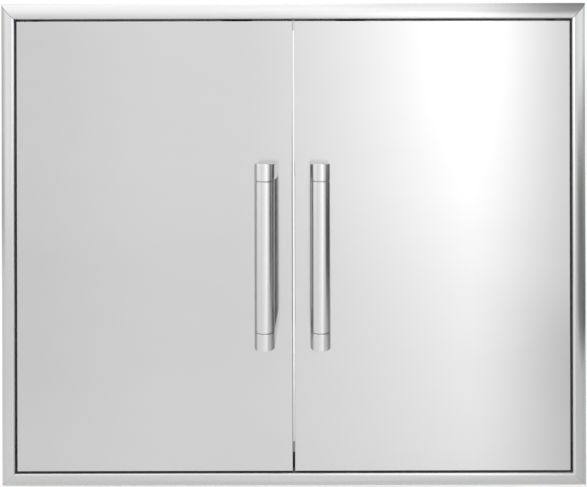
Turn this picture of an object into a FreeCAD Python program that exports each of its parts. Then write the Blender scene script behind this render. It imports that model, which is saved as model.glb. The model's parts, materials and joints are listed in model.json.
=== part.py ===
import FreeCAD, Part
import os
import math

Vector = FreeCAD.Vector

# Stainless double access door for an outdoor kitchen island. Millimetres, X to the right as seen from
# the front, Y into the wall, Z up. The wall's front face is the plane y = 0 and the opening is centred
# on x = 0, z = 0, so the mouldings and the doors stand at negative y and the sleeve runs to positive y.

# Frame
overall_width = 800.0
overall_height = 660.0
rail_width = 24.0
rail_crown_height = 14.0
rail_sheet = 1.2
rail_nose_radius = 2.5
rail_edge_lip = 0.8
sleeve_sheet = 1.5
sleeve_depth = 57.0
flange_edge_inset = 2.0
screw_hole_radius = 2.5
screw_hole_front_y = 20.0
screw_hole_spacing_y = 25.0
screw_hole_spacing_z = 400.0

# Doors
door_face_height = 12.0
door_thickness = 20.0
door_side_gap = 2.8
door_end_gap = 2.6
door_centre_gap = 3.0
door_sheet = 1.2
door_edge_radius = 1.0
liner_sheet = 1.0
liner_flange_depth = 12.0
stiffener_sheet = 1.2
stiffener_crown_width = 34.0
stiffener_foot_width = 14.0
stiffener_end_gap = 22.0

# Hinges
pivot_from_door_edge = 13.2
pivot_behind_door_face = 8.5
pivot_pin_radius = 3.0
pivot_pin_clearance = 0.05
pivot_pin_reach = 15.0
hinge_plate_thickness = 1.8
hinge_plate_width = 12.0
hinge_plate_rear_y = 38.0
hinge_screw_first_y = 12.0
hinge_screw_spacing = 16.0
hinge_washer_radius = 5.5
moving_clearance = 0.3
pivot_block_width = 20.0
pivot_block_height = 20.0
pivot_edge_hole_radius = 4.0

# Handles
handle_diameter = 25.4
handle_length = 231.0
handle_post_height = 21.0
handle_groove_width = 1.4
handle_groove_depth = 1.0
handle_axis_standoff = 44.8
handle_from_centre = 35.0
handle_centre_z = -2.1
handle_tube_wall = 1.5
handle_spigot_length = 9.0
handle_edge_round = 0.6
backing_plate_width = 22.0
backing_plate_thickness = 3.0
backing_plate_overhang = 6.0
handle_screw_radius = 3.0
handle_screw_engagement = 16.0

# Magnetic catches
catch_from_centre = 80.0
catch_bracket_overhang = 3.0
catch_bracket_sheet = 1.5
catch_bracket_drop = 23.0
catch_bracket_foot = 18.0
catch_body_width = 36.0
catch_body_depth = 10.5
catch_body_height = 15.0
catch_body_below_head = 5.0
catch_to_striker = 0.5
magnet_width = 26.0
magnet_depth = 6.0
magnet_height = 9.0
striker_thickness = 1.5
striker_margin = 1.0
rivet_radius = 1.6
rivet_from_striker_centre = 14.0

# Sill stop and its rubber buffers
stop_height = 14.0
stop_foot = 15.0
stop_sheet = 1.5
stop_end_from_pivot = 20.0
buffer_thickness = 2.7
buffer_radius = 5.0
buffer_from_centre = (40.0, 300.0)

# Small screws and nuts
screw_radius = 2.0
screw_head_radius = 3.6
screw_head_depth = 1.6
nut_height = 3.2
nut_across_corners = 8.1
screw_past_nut = 0.8

# Values that follow from the ones above
opening_half_width = overall_width / 2 - rail_width
opening_half_height = overall_height / 2 - rail_width
door_outer_x = opening_half_width - door_side_gap
door_inner_x = door_centre_gap / 2
door_half_height = opening_half_height - door_end_gap
door_front_y = -door_face_height
door_back_y = door_front_y + door_thickness
pivot_x = door_outer_x - pivot_from_door_edge
pivot_y = door_front_y + pivot_behind_door_face
hinge_plate_z = opening_half_height - hinge_plate_thickness
handle_radius = handle_diameter / 2
handle_axis_y = door_front_y - handle_axis_standoff
handle_top_z = handle_centre_z + handle_length / 2
handle_bottom_z = handle_centre_z - handle_length / 2
sheet_back_y = door_front_y + door_sheet
liner_inner_y = door_back_y - liner_sheet
catch_front_y = door_back_y + striker_thickness + catch_to_striker
catch_back_y = catch_front_y + catch_body_depth
catch_top_z = opening_half_height - catch_body_below_head
catch_bracket_width = catch_body_width + catch_bracket_overhang * 2
stop_front_y = door_back_y + moving_clearance + buffer_thickness
tube_inner_radius = handle_radius - handle_tube_wall


def box(x0, x1, y0, y1, z0, z1):
    """A box between two corners, whatever the order of each pair."""
    low = Vector(min(x0, x1), min(y0, y1), min(z0, z1))
    return Part.makeBox(abs(x1 - x0), abs(y1 - y0), abs(z1 - z0), low)


def rod(radius, start, end):
    """A round bar between two points."""
    way = end - start
    return Part.makeCylinder(radius, way.Length, start, way)


def mirrored(shape):
    """The same piece on the other side of the centre line."""
    return shape.mirror(Vector(0, 0, 0), Vector(1, 0, 0))


def upside_down(shape):
    """The same piece at the sill instead of the head."""
    return shape.mirror(Vector(0, 0, 0), Vector(0, 0, 1))


def moulding_section(half_extent):
    """The rolled sheet of the moulding in plan: foot on the wall, long round flank, tight inner nose."""
    crown_u = rail_width - rail_nose_radius
    rise = rail_crown_height - rail_edge_lip
    flank_radius = (crown_u ** 2 + rise ** 2) / (2 * rise)
    flank_centre_v = rail_crown_height - flank_radius
    inner_flank = flank_radius - rail_sheet
    inner_nose = rail_nose_radius - rail_sheet
    nose_centre_v = rail_crown_height - rail_nose_radius
    foot_u = crown_u - math.sqrt(inner_flank ** 2 - flank_centre_v ** 2)

    def at(u, v):
        return Vector(-half_extent + u, -v, 0)

    def on_circle(centre_u, centre_v, radius, degrees):
        angle = math.radians(degrees)
        return at(centre_u + radius * math.cos(angle), centre_v + radius * math.sin(angle))

    outer_start = math.degrees(math.atan2(rail_edge_lip - flank_centre_v, -crown_u))
    inner_start = math.degrees(math.atan2(-flank_centre_v, foot_u - crown_u))
    outer_flank_arc = Part.Arc(
        at(0, rail_edge_lip),
        on_circle(crown_u, flank_centre_v, flank_radius, (outer_start + 90) / 2),
        at(crown_u, rail_crown_height))
    outer_nose_arc = Part.Arc(
        at(crown_u, rail_crown_height),
        on_circle(crown_u, nose_centre_v, rail_nose_radius, 45),
        at(rail_width, nose_centre_v))
    inner_nose_arc = Part.Arc(
        at(rail_width - rail_sheet, nose_centre_v),
        on_circle(crown_u, nose_centre_v, inner_nose, 45),
        at(crown_u, rail_crown_height - rail_sheet))
    inner_flank_arc = Part.Arc(
        at(crown_u, rail_crown_height - rail_sheet),
        on_circle(crown_u, flank_centre_v, inner_flank, (inner_start + 90) / 2),
        at(foot_u, 0))
    edges = [
        Part.LineSegment(at(0, 0), at(0, rail_edge_lip)),
        outer_flank_arc,
        outer_nose_arc,
        Part.LineSegment(at(rail_width, nose_centre_v), at(rail_width, sleeve_sheet)),
        Part.LineSegment(at(rail_width, sleeve_sheet), at(rail_width - rail_sheet, sleeve_sheet)),
        Part.LineSegment(at(rail_width - rail_sheet, sleeve_sheet),
                         at(rail_width - rail_sheet, nose_centre_v)),
        inner_nose_arc,
        inner_flank_arc,
        Part.LineSegment(at(foot_u, 0), at(0, 0)),
    ]
    return Part.Face(Part.Wire([edge.toShape() for edge in edges]))


def sleeve_section(half_extent):
    """The sleeve's angle in plan: a flange that lies on the wall and a web that runs into it."""
    web_outer = -half_extent + rail_width - sleeve_sheet
    web_inner = -half_extent + rail_width
    corners = [
        Vector(-half_extent + flange_edge_inset, 0, 0),
        Vector(-half_extent + flange_edge_inset, -sleeve_sheet, 0),
        Vector(web_inner, -sleeve_sheet, 0),
        Vector(web_inner, sleeve_depth, 0),
        Vector(web_outer, sleeve_depth, 0),
        Vector(web_outer, 0, 0),
    ]
    return Part.Face(Part.makePolygon(corners + corners[:1]))


def mitred_member(section, half_extent, length, turn):
    """A straight member along the section's edge of the frame, mitred at 45 degrees at both ends."""
    bar = section.extrude(Vector(0, 0, length))
    bar.translate(Vector(0, 0, -length / 2))
    reach = rail_width * 2
    outline = [
        Vector(-half_extent, -rail_crown_height * 2, -length / 2),
        Vector(-half_extent, -rail_crown_height * 2, length / 2),
        Vector(-half_extent + reach, -rail_crown_height * 2, length / 2 - reach),
        Vector(-half_extent + reach, -rail_crown_height * 2, -length / 2 + reach),
    ]
    keep = Part.Face(Part.makePolygon(outline + outline[:1]))
    keep = keep.extrude(Vector(0, rail_crown_height * 2 + sleeve_depth * 2, 0))
    member = bar.common(keep).Solids[0]
    member.rotate(Vector(0, 0, 0), Vector(0, 1, 0), turn)
    return member


def frame_members(section_of):
    """The four members of one kind, in the order left, head, right, sill."""
    half_width = overall_width / 2
    half_height = overall_height / 2
    return [
        mitred_member(section_of(half_width), half_width, overall_height, 0),
        mitred_member(section_of(half_height), half_height, overall_width, 90),
        mitred_member(section_of(half_width), half_width, overall_height, 180),
        mitred_member(section_of(half_height), half_height, overall_width, -90),
    ]


def mounting_holes(side):
    """Drills for the four screws that hold one side of the sleeve to the opening's framing."""
    drills = []
    for row in (0, 1):
        for end in (-1, 1):
            y = screw_hole_front_y + row * screw_hole_spacing_y
            z = end * screw_hole_spacing_z / 2
            start = Vector(side * (opening_half_width - sleeve_sheet), y, z)
            finish = Vector(side * (opening_half_width + sleeve_sheet * 2), y, z)
            drills.append(rod(screw_hole_radius, start, finish))
    return drills


def small_screw(x, y, z, grip):
    """A countersunk screw driven upwards, its head flush with the face at height z."""
    cone = Part.makeCone(screw_head_radius, screw_radius, screw_head_depth, Vector(x, y, z))
    shank_end = z + grip + nut_height + screw_past_nut
    shank = rod(screw_radius, Vector(x, y, z), Vector(x, y, shank_end))
    return cone.fuse(shank).removeSplitter()


def small_nut(x, y, z):
    """A hexagon nut standing on the face at height z."""
    corners = []
    for step in range(6):
        angle = math.radians(60 * step)
        offset = Vector(math.cos(angle), math.sin(angle), 0) * (nut_across_corners / 2)
        corners.append(Vector(x, y, z) + offset)
    prism = Part.Face(Part.makePolygon(corners + corners[:1])).extrude(Vector(0, 0, nut_height))
    bore = rod(screw_radius, Vector(x, y, z), Vector(x, y, z + nut_height))
    return prism.cut(bore)


def hinge_screw_places():
    """Where the upper left hinge plate is screwed to the head."""
    return [(-pivot_x, hinge_screw_first_y), (-pivot_x, hinge_screw_first_y + hinge_screw_spacing)]


def catch_screw_places():
    """Where the left catch bracket is screwed to the head."""
    y = catch_back_y + catch_bracket_sheet + catch_bracket_foot / 2
    offset = catch_bracket_width / 4
    return [(-catch_from_centre - offset, y), (-catch_from_centre + offset, y)]


def hinge_plate():
    """The upper left hinge plate: round nose at the pin, straight tail screwed under the head."""
    half = hinge_plate_width / 2
    top = opening_half_height
    nose = rod(half, Vector(-pivot_x, pivot_y, hinge_plate_z), Vector(-pivot_x, pivot_y, top))
    tail = box(-pivot_x - half, -pivot_x + half, pivot_y, hinge_plate_rear_y, hinge_plate_z, top)
    plate = nose.fuse(tail).removeSplitter()
    pin_bottom = Vector(-pivot_x, pivot_y, hinge_plate_z)
    plate = plate.cut(rod(pivot_pin_radius, pin_bottom, Vector(-pivot_x, pivot_y, top)))
    for x, y in hinge_screw_places():
        plate = plate.cut(small_screw(x, y, hinge_plate_z, sleeve_sheet + hinge_plate_thickness))
    return plate


def hinge_pin():
    """The upper left pivot pin, fixed in the hinge plate and reaching down into the door."""
    top = Vector(-pivot_x, pivot_y, opening_half_height)
    bottom = Vector(-pivot_x, pivot_y, door_half_height - door_sheet - pivot_pin_reach)
    pin = rod(pivot_pin_radius, top, bottom)
    tip = [edge for edge in pin.Edges if abs(edge.BoundBox.ZMax - bottom.z) < 0.01 and edge.Closed]
    return pin.makeChamfer(0.8, tip)


def hinge_washer():
    """The upper left thrust washer between the hinge plate and the door's edge."""
    top = Vector(-pivot_x, pivot_y, hinge_plate_z)
    bottom = Vector(-pivot_x, pivot_y, door_half_height + moving_clearance)
    return rod(hinge_washer_radius, top, bottom).cut(rod(pivot_pin_radius, top, bottom))


def pivot_block():
    """The upper left bearing block inside the door, bored for the pivot pin."""
    x0 = -door_outer_x + door_sheet + liner_sheet
    top = door_half_height - door_sheet - liner_sheet
    block = box(x0, x0 + pivot_block_width, sheet_back_y, liner_inner_y, top - pivot_block_height, top)
    start = Vector(-pivot_x, pivot_y, top)
    end = Vector(-pivot_x, pivot_y, top - pivot_pin_reach - 1)
    return block.cut(rod(pivot_pin_radius + pivot_pin_clearance, start, end))


def pivot_edge_holes():
    """Drills that let the pivot pins through the left door's top and bottom edges."""
    top = Vector(-pivot_x, pivot_y, door_half_height + 1)
    inside = Vector(-pivot_x, pivot_y, door_half_height - door_sheet - liner_sheet)
    drill = rod(pivot_edge_hole_radius, top, inside)
    return [drill, upside_down(drill)]


def handle_screw_heights():
    """The height of the middle of each handle post."""
    return [handle_top_z - handle_post_height / 2, handle_bottom_z + handle_post_height / 2]


def handle_screw(z):
    """A handle screw: head inside the door on the backing plate, thread in the post."""
    head_y = sheet_back_y + backing_plate_thickness
    front = Vector(-handle_from_centre, door_front_y - handle_screw_engagement, z)
    shank = rod(handle_screw_radius, front, Vector(-handle_from_centre, head_y, z))
    head = rod(handle_screw_radius * 1.8, Vector(-handle_from_centre, head_y, z),
               Vector(-handle_from_centre, head_y + handle_screw_radius * 1.2, z))
    return shank.fuse(head).removeSplitter()


def door_skin():
    """The left door's outer sheet, folded back on all four sides."""
    skin = box(-door_outer_x, -door_inner_x, door_front_y, door_back_y, -door_half_height, door_half_height)
    front_edges = [edge for edge in skin.Edges if edge.BoundBox.YMax < door_front_y + 0.01]
    skin = skin.makeFillet(door_edge_radius, front_edges)
    hollow = box(-door_outer_x + door_sheet, -door_inner_x - door_sheet, sheet_back_y, door_back_y + 1,
                 -door_half_height + door_sheet, door_half_height - door_sheet)
    skin = skin.cut(hollow)
    for drill in pivot_edge_holes():
        skin = skin.cut(drill)
    for z in handle_screw_heights():
        skin = skin.cut(handle_screw(z))
    return skin


def door_liner():
    """The left door's inner tray, let into the folded edges of the skin."""
    x0 = -door_outer_x + door_sheet
    x1 = -door_inner_x - door_sheet
    z1 = door_half_height - door_sheet
    tray = box(x0, x1, door_back_y - liner_flange_depth, door_back_y, -z1, z1)
    hollow = box(x0 + liner_sheet, x1 - liner_sheet, door_back_y - liner_flange_depth, liner_inner_y,
                 -z1 + liner_sheet, z1 - liner_sheet)
    tray = tray.cut(hollow)
    for drill in pivot_edge_holes():
        tray = tray.cut(drill)
    for x, z in rivet_places():
        tray = tray.cut(rod(rivet_radius, Vector(x, liner_inner_y, z), Vector(x, door_back_y, z)))
    return tray


def door_stiffener():
    """The hat channel that stands between the skin and the liner in the middle of the left door."""
    middle = -(door_outer_x + door_inner_x) / 2
    half = stiffener_crown_width / 2
    top = door_half_height - stiffener_end_gap
    crown = box(middle - half, middle + half, sheet_back_y, liner_inner_y, -top, top)
    hollow = box(middle - half + stiffener_sheet, middle + half - stiffener_sheet,
                 sheet_back_y + stiffener_sheet, liner_inner_y, -top, top)
    hat = crown.cut(hollow)
    for side in (-1, 1):
        foot = box(middle + side * (half - stiffener_sheet), middle + side * (half + stiffener_foot_width),
                   liner_inner_y - stiffener_sheet, liner_inner_y, -top, top)
        hat = hat.fuse(foot)
    return hat.removeSplitter()


def handle_backing_plate():
    """The strip inside the left door that spreads the pull of the handle screws."""
    half = backing_plate_width / 2
    plate = box(-handle_from_centre - half, -handle_from_centre + half,
                sheet_back_y, sheet_back_y + backing_plate_thickness,
                handle_bottom_z - backing_plate_overhang, handle_top_z + backing_plate_overhang)
    for z in handle_screw_heights():
        plate = plate.cut(handle_screw(z))
    return plate


def handle_tube():
    """The left handle's round tube between its two posts."""
    inset = handle_post_height + handle_groove_width
    low = Vector(-handle_from_centre, handle_axis_y, handle_bottom_z + inset)
    high = Vector(-handle_from_centre, handle_axis_y, handle_top_z - inset)
    tube = rod(handle_radius, low, high)
    tube = tube.makeFillet(0.3, [edge for edge in tube.Edges if edge.Closed and edge.Length > 1])
    return tube.cut(rod(tube_inner_radius, low, high))


def handle_upper_post():
    """The upper post: round in front, straight sides back to the door, a spigot into the tube."""
    low_z = handle_top_z - handle_post_height
    round_part = rod(handle_radius, Vector(-handle_from_centre, handle_axis_y, low_z),
                     Vector(-handle_from_centre, handle_axis_y, handle_top_z))
    straight_part = box(-handle_from_centre - handle_radius, -handle_from_centre + handle_radius,
                        handle_axis_y, door_front_y, low_z, handle_top_z)
    post = round_part.fuse(straight_part).removeSplitter()
    rims = []
    for edge in post.Edges:
        flat = abs(edge.BoundBox.ZMax - edge.BoundBox.ZMin) < 0.01
        if flat and edge.BoundBox.YMin < door_front_y - 1:
            rims.append(edge)
    post = post.makeFillet(handle_edge_round, rims)
    shoulder = rod(handle_radius - handle_groove_depth, Vector(-handle_from_centre, handle_axis_y, low_z + 1),
                   Vector(-handle_from_centre, handle_axis_y, low_z - handle_groove_width))
    spigot_end_z = low_z - handle_groove_width - handle_spigot_length
    spigot = rod(tube_inner_radius, Vector(-handle_from_centre, handle_axis_y, low_z),
                 Vector(-handle_from_centre, handle_axis_y, spigot_end_z))
    post = post.fuse(shoulder).fuse(spigot).removeSplitter()
    return post.cut(handle_screw(handle_screw_heights()[0]))


def handle_lower_post():
    """The lower post is the upper one turned over about the middle of the handle."""
    middle = Vector(0, 0, handle_centre_z)
    return handle_upper_post().mirror(middle, Vector(0, 0, 1))


def catch_bracket():
    """The left catch bracket: a leg hanging behind the door and a foot screwed under the head."""
    half = catch_bracket_width / 2
    back = catch_back_y + catch_bracket_sheet
    leg = box(-catch_from_centre - half, -catch_from_centre + half, catch_back_y, back,
              opening_half_height - catch_bracket_drop, opening_half_height)
    foot = box(-catch_from_centre - half, -catch_from_centre + half, back, back + catch_bracket_foot,
               opening_half_height - catch_bracket_sheet, opening_half_height)
    bracket = leg.fuse(foot).removeSplitter()
    for x, y in catch_screw_places():
        start = Vector(x, y, opening_half_height - catch_bracket_sheet)
        bracket = bracket.cut(rod(screw_radius, start, Vector(x, y, opening_half_height)))
    for screw in catch_body_screws():
        bracket = bracket.cut(screw)
    return bracket


def catch_screw(x, y):
    """A cap screw driven up through the catch bracket and the head."""
    foot_z = opening_half_height - catch_bracket_sheet
    end_z = opening_half_height + sleeve_sheet + nut_height + screw_past_nut
    head = rod(screw_head_radius, Vector(x, y, foot_z - screw_head_depth), Vector(x, y, foot_z))
    return head.fuse(rod(screw_radius, Vector(x, y, foot_z), Vector(x, y, end_z))).removeSplitter()


def catch_body_screws():
    """The two screws that hold the left catch body to its bracket from behind."""
    screws = []
    back = catch_back_y + catch_bracket_sheet
    z = catch_top_z - catch_body_height / 2
    for side in (-1, 1):
        x = -catch_from_centre + side * (catch_body_width / 2 - screw_radius * 1.25)
        thread = rod(screw_radius * 0.6, Vector(x, back, z), Vector(x, back - catch_body_depth * 0.7, z))
        head = rod(screw_radius * 1.2, Vector(x, back, z), Vector(x, back + screw_radius * 0.7, z))
        screws.append(head.fuse(thread).removeSplitter())
    return screws


def magnet_block():
    """The left catch magnet, its pole face flush with the front of the catch body."""
    z = catch_top_z - catch_body_height / 2
    return box(-catch_from_centre - magnet_width / 2, -catch_from_centre + magnet_width / 2,
               catch_front_y, catch_front_y + magnet_depth, z - magnet_height / 2, z + magnet_height / 2)


def catch_body():
    """The left catch's moulded body with a pocket for the magnet."""
    half = catch_body_width / 2
    body = box(-catch_from_centre - half, -catch_from_centre + half, catch_front_y, catch_back_y,
               catch_top_z - catch_body_height, catch_top_z)
    upright = [edge for edge in body.Edges
               if edge.BoundBox.YMax - edge.BoundBox.YMin > catch_body_depth - 0.01]
    body = body.makeFillet(1.5, upright)
    body = body.cut(magnet_block())
    for screw in catch_body_screws():
        body = body.cut(screw)
    return body


def rivet_places():
    """Where the left striker is riveted to the door's inner tray."""
    z = catch_top_z - catch_body_height / 2
    left_x = -catch_from_centre - rivet_from_striker_centre
    right_x = -catch_from_centre + rivet_from_striker_centre
    return [(left_x, z), (right_x, z)]


def striker():
    """The steel plate on the back of the left door that the magnet pulls on."""
    half = catch_body_width / 2 + striker_margin
    bottom = catch_top_z - catch_body_height - striker_margin
    top = catch_top_z - striker_margin
    plate = box(-catch_from_centre - half, -catch_from_centre + half, door_back_y,
                door_back_y + striker_thickness, bottom, top)
    corners = [edge for edge in plate.Edges
               if edge.BoundBox.YMax - edge.BoundBox.YMin > striker_thickness - 0.01]
    plate = plate.makeFillet(3.0, corners)
    for x, z in rivet_places():
        plate = plate.cut(rod(rivet_radius, Vector(x, door_back_y, z),
                              Vector(x, door_back_y + striker_thickness, z)))
    return plate


def striker_rivets():
    """The two rivets of the left striker, flush in the plate and headed inside the tray."""
    rivets = []
    for x, z in rivet_places():
        shank = rod(rivet_radius, Vector(x, liner_inner_y, z), Vector(x, door_back_y + striker_thickness, z))
        head = rod(rivet_radius * 2, Vector(x, liner_inner_y - 1, z), Vector(x, liner_inner_y, z))
        rivets.append(shank.fuse(head).removeSplitter())
    return rivets


def sill_stop():
    """The angle on the sill that both doors close towards, short of the hinge corners."""
    reach = pivot_x - stop_end_from_pivot
    back = stop_front_y + stop_sheet
    leg = box(-reach, reach, stop_front_y, back, -opening_half_height, -opening_half_height + stop_height)
    foot = box(-reach, reach, back, back + stop_foot, -opening_half_height, -opening_half_height + stop_sheet)
    return leg.fuse(foot).removeSplitter()


def sill_buffers():
    """The round rubber buffers on the front of the sill stop."""
    pads = []
    z = -door_half_height + buffer_radius
    for side in (-1, 1):
        for distance in buffer_from_centre:
            face = Vector(side * distance, stop_front_y - buffer_thickness, z)
            seat = Vector(side * distance, stop_front_y, z)
            pads.append(rod(buffer_radius, face, seat))
    return pads


def four_corners(shape):
    """The four places of a hinge piece, in the order upper left, upper right, lower left, lower right."""
    return [shape, mirrored(shape), upside_down(shape), upside_down(mirrored(shape))]


def frame_parts():
    """Every piece that stays still, by name."""
    parts = {}
    sides = ("left", "head", "right", "sill")
    for side, rail in zip(sides, frame_members(moulding_section)):
        parts[side + "_moulding"] = rail
    for side, member in zip(sides, frame_members(sleeve_section)):
        parts[side + "_sleeve"] = member
    for side, name in ((-1, "left_sleeve"), (1, "right_sleeve")):
        for drill in mounting_holes(side):
            parts[name] = parts[name].cut(drill)

    hinge_grip = sleeve_sheet + hinge_plate_thickness
    nut_z = opening_half_height + sleeve_sheet
    hinge_screws = []
    hinge_nuts = []
    for x, y in hinge_screw_places():
        hinge_screws += four_corners(small_screw(x, y, hinge_plate_z, hinge_grip))
        hinge_nuts += four_corners(small_nut(x, y, nut_z))
    catch_screws = []
    catch_nuts = []
    for x, y in catch_screw_places():
        catch_screws += [catch_screw(x, y), mirrored(catch_screw(x, y))]
        catch_nuts += [small_nut(x, y, nut_z), mirrored(small_nut(x, y, nut_z))]
    for screw in hinge_screws + catch_screws:
        for name in ("head_sleeve", "sill_sleeve"):
            parts[name] = parts[name].cut(screw)

    corners = ("left_upper", "right_upper", "left_lower", "right_lower")
    for corner, plate in zip(corners, four_corners(hinge_plate())):
        parts[corner + "_hinge_plate"] = plate
    for corner, pin in zip(corners, four_corners(hinge_pin())):
        parts[corner + "_pivot_pin"] = pin
    parts["hinge_washers"] = Part.makeCompound(four_corners(hinge_washer()))
    parts["hinge_plate_screws"] = Part.makeCompound(hinge_screws)
    parts["hinge_plate_nuts"] = Part.makeCompound(hinge_nuts)
    parts["catch_bracket_screws"] = Part.makeCompound(catch_screws)
    parts["catch_bracket_nuts"] = Part.makeCompound(catch_nuts)

    body_screws = catch_body_screws()
    body_screws += [mirrored(screw) for screw in body_screws]
    parts["catch_body_screws"] = Part.makeCompound(body_screws)
    for name, shape in (("catch_bracket", catch_bracket()), ("catch_body", catch_body()),
                        ("catch_magnet", magnet_block())):
        parts["left_" + name] = shape
        parts["right_" + name] = mirrored(shape)

    parts["sill_stop"] = sill_stop()
    parts["sill_buffers"] = Part.makeCompound(sill_buffers())
    return parts


def left_door_parts():
    """Every piece of the left door and its handle, by name."""
    return {
        "door_skin": door_skin(),
        "door_liner": door_liner(),
        "door_stiffener": door_stiffener(),
        "upper_pivot_block": pivot_block(),
        "lower_pivot_block": upside_down(pivot_block()),
        "handle_tube": handle_tube(),
        "handle_upper_post": handle_upper_post(),
        "handle_lower_post": handle_lower_post(),
        "handle_backing_plate": handle_backing_plate(),
        "handle_screws": Part.makeCompound([handle_screw(z) for z in handle_screw_heights()]),
        "striker": striker(),
        "striker_rivets": Part.makeCompound(striker_rivets()),
    }


os.makedirs("parts", exist_ok=True)
for name, shape in frame_parts().items():
    shape.exportStep("parts/" + name + ".step")
for name, shape in left_door_parts().items():
    shape.exportStep("parts/left_" + name + ".step")
    mirrored(shape).exportStep("parts/right_" + name + ".step")
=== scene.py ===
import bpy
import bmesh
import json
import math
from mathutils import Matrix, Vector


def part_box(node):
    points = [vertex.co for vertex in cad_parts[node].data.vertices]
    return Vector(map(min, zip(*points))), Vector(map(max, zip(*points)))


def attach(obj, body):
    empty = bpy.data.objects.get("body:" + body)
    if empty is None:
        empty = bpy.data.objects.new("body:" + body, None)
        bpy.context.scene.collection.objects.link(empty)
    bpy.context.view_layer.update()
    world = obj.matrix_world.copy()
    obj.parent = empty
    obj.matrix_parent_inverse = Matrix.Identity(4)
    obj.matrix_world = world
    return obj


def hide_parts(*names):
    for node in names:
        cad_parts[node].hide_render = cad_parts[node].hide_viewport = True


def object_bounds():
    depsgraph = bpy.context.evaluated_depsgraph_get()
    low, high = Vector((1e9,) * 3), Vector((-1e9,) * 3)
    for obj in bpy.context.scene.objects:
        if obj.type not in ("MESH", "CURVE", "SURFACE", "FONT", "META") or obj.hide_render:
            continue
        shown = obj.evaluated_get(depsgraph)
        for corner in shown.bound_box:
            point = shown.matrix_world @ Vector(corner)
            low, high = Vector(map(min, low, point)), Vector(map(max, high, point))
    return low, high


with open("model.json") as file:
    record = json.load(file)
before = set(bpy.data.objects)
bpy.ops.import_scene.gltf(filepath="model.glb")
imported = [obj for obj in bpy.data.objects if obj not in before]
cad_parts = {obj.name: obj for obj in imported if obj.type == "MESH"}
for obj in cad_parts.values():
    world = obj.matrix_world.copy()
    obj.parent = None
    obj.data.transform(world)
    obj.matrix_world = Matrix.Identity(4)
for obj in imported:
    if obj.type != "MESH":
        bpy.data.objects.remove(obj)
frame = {"nodes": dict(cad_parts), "record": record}

# %% [markdown] # Stainless double access door for an outdoor kitchen  The real object is a flat
# frame of rolled stainless sheet with two inset doors, a bar handle on each and magnetic catches
# inside. X is to the right, Z is up, the wall's face is at y = 0, and the doors look towards -Y.
# Nearly everything is bare steel, and bare steel has no colour of its own: it shows the room. The
# lesson sets up the camera, makes one finish per kind of steel, and adds the small things that a
# bench would show: screw recesses, nuts, pole plates, welds and soft edges. The studio comes last
# and gets as much care as the steel, because the steel mirrors it: a light tent, a lamp behind
# cloth, black cloth and the floor.

cad_low, cad_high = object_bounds()
print("nodes", len(frame["nodes"]), "box from", tuple(cad_low), "to", tuple(cad_high))

# %% [markdown]
# ## The camera
#
# The photograph was taken square on, from close by and above the middle: upright edges stay
# upright, yet the top faces of the handle posts show. Tilting a camera down would make the uprights
# lean, so a view camera's trick is used: the camera looks straight ahead and its frame is shifted
# down. The place and the lens come from fitting the corners of the frame, the doors and the
# handles. The photographer's camera also leaned an eighth of a degree to one side, and so does
# this one.

# %% Camera
focal_length_mm, sensor_width_mm = 29.842, 36.0
shift_right, shift_up = -0.0240, -0.1792
camera_right, camera_height = 0.0193, 0.1452
camera_to_door = 0.6559
camera_roll = 0.125
door_face_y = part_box("left_door_skin")[0].y

camera_data = bpy.data.cameras.new("studio_camera")
camera_data.lens = focal_length_mm
camera_data.sensor_width = sensor_width_mm
camera_data.shift_x = shift_right
camera_data.shift_y = shift_up
camera = bpy.data.objects.new("studio_camera", camera_data)
camera.location = (camera_right, door_face_y - camera_to_door, camera_height)
camera.rotation_euler = (math.radians(90), math.radians(camera_roll), 0)
bpy.context.scene.collection.objects.link(camera)
bpy.context.scene.camera = camera
bpy.context.scene.view_settings.view_transform = "Standard"
print("camera at", tuple(round(value, 3) for value in camera.location))

# %% [markdown]
# ## Wiring nodes
#
# A finish, and the light around the object too, is a graph of small nodes. The same few steps come
# back in every one: a sum, a product, a soft step from 0 to 1. They could be drawn one by one in
# the node editor, but there are hundreds. A small class keeps each step to one short call, so that
# what follows reads as what it is.

# %% Graph helpers
class Graph:
    """A node tree while its nodes are being added and joined."""

    def __init__(self, tree):
        self.tree = tree

    def add(self, kind, **settings):
        node = self.tree.nodes.new(kind)
        for name, value in settings.items():
            setattr(node, name, value)
        return node

    def feed(self, socket, value):
        """Joins a socket to another, or writes a plain value on it."""
        if isinstance(value, bpy.types.NodeSocket):
            self.tree.links.new(value, socket)
        else:
            socket.default_value = value

    def math(self, operation, first, second=0.0):
        node = self.add("ShaderNodeMath", operation=operation)
        self.feed(node.inputs[0], first)
        self.feed(node.inputs[1], second)
        return node.outputs[0]

    def product(self, *factors):
        result = factors[0]
        for factor in factors[1:]:
            result = self.math("MULTIPLY", result, factor)
        return result

    def remaining(self, share):
        """What is left of 1 when a share is taken."""
        return self.math("SUBTRACT", 1.0, share)

    def ramp(self, value, start, end, low=0.0, high=1.0, shape="SMOOTHSTEP"):
        """Goes from low to high while value goes from start to end, and stays there beyond."""
        node = self.add("ShaderNodeMapRange", interpolation_type=shape)
        limits = {"From Min": start, "From Max": end, "To Min": low, "To Max": high}
        for name, limit in limits.items():
            node.inputs[name].default_value = limit
        self.feed(node.inputs["Value"], value)
        return node.outputs["Result"]

    def window(self, value, start, full, fading, end):
        """1 while value is between full and fading, and 0 before start and after end."""
        return self.product(self.ramp(value, start, full), self.ramp(value, end, fading))


print("a graph can", ", ".join(name for name in vars(Graph) if not name.startswith("_")))

# %% [markdown]
# ## One finish
#
# A finish is a graph that ends in a shader. Its noise is read from the object's own coordinates, so
# a grain is as many millimetres long on every piece and travels with a door that opens. A mark,
# such as a weld or a groove, is drawn from the same coordinates, by how near a point is to it.

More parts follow.
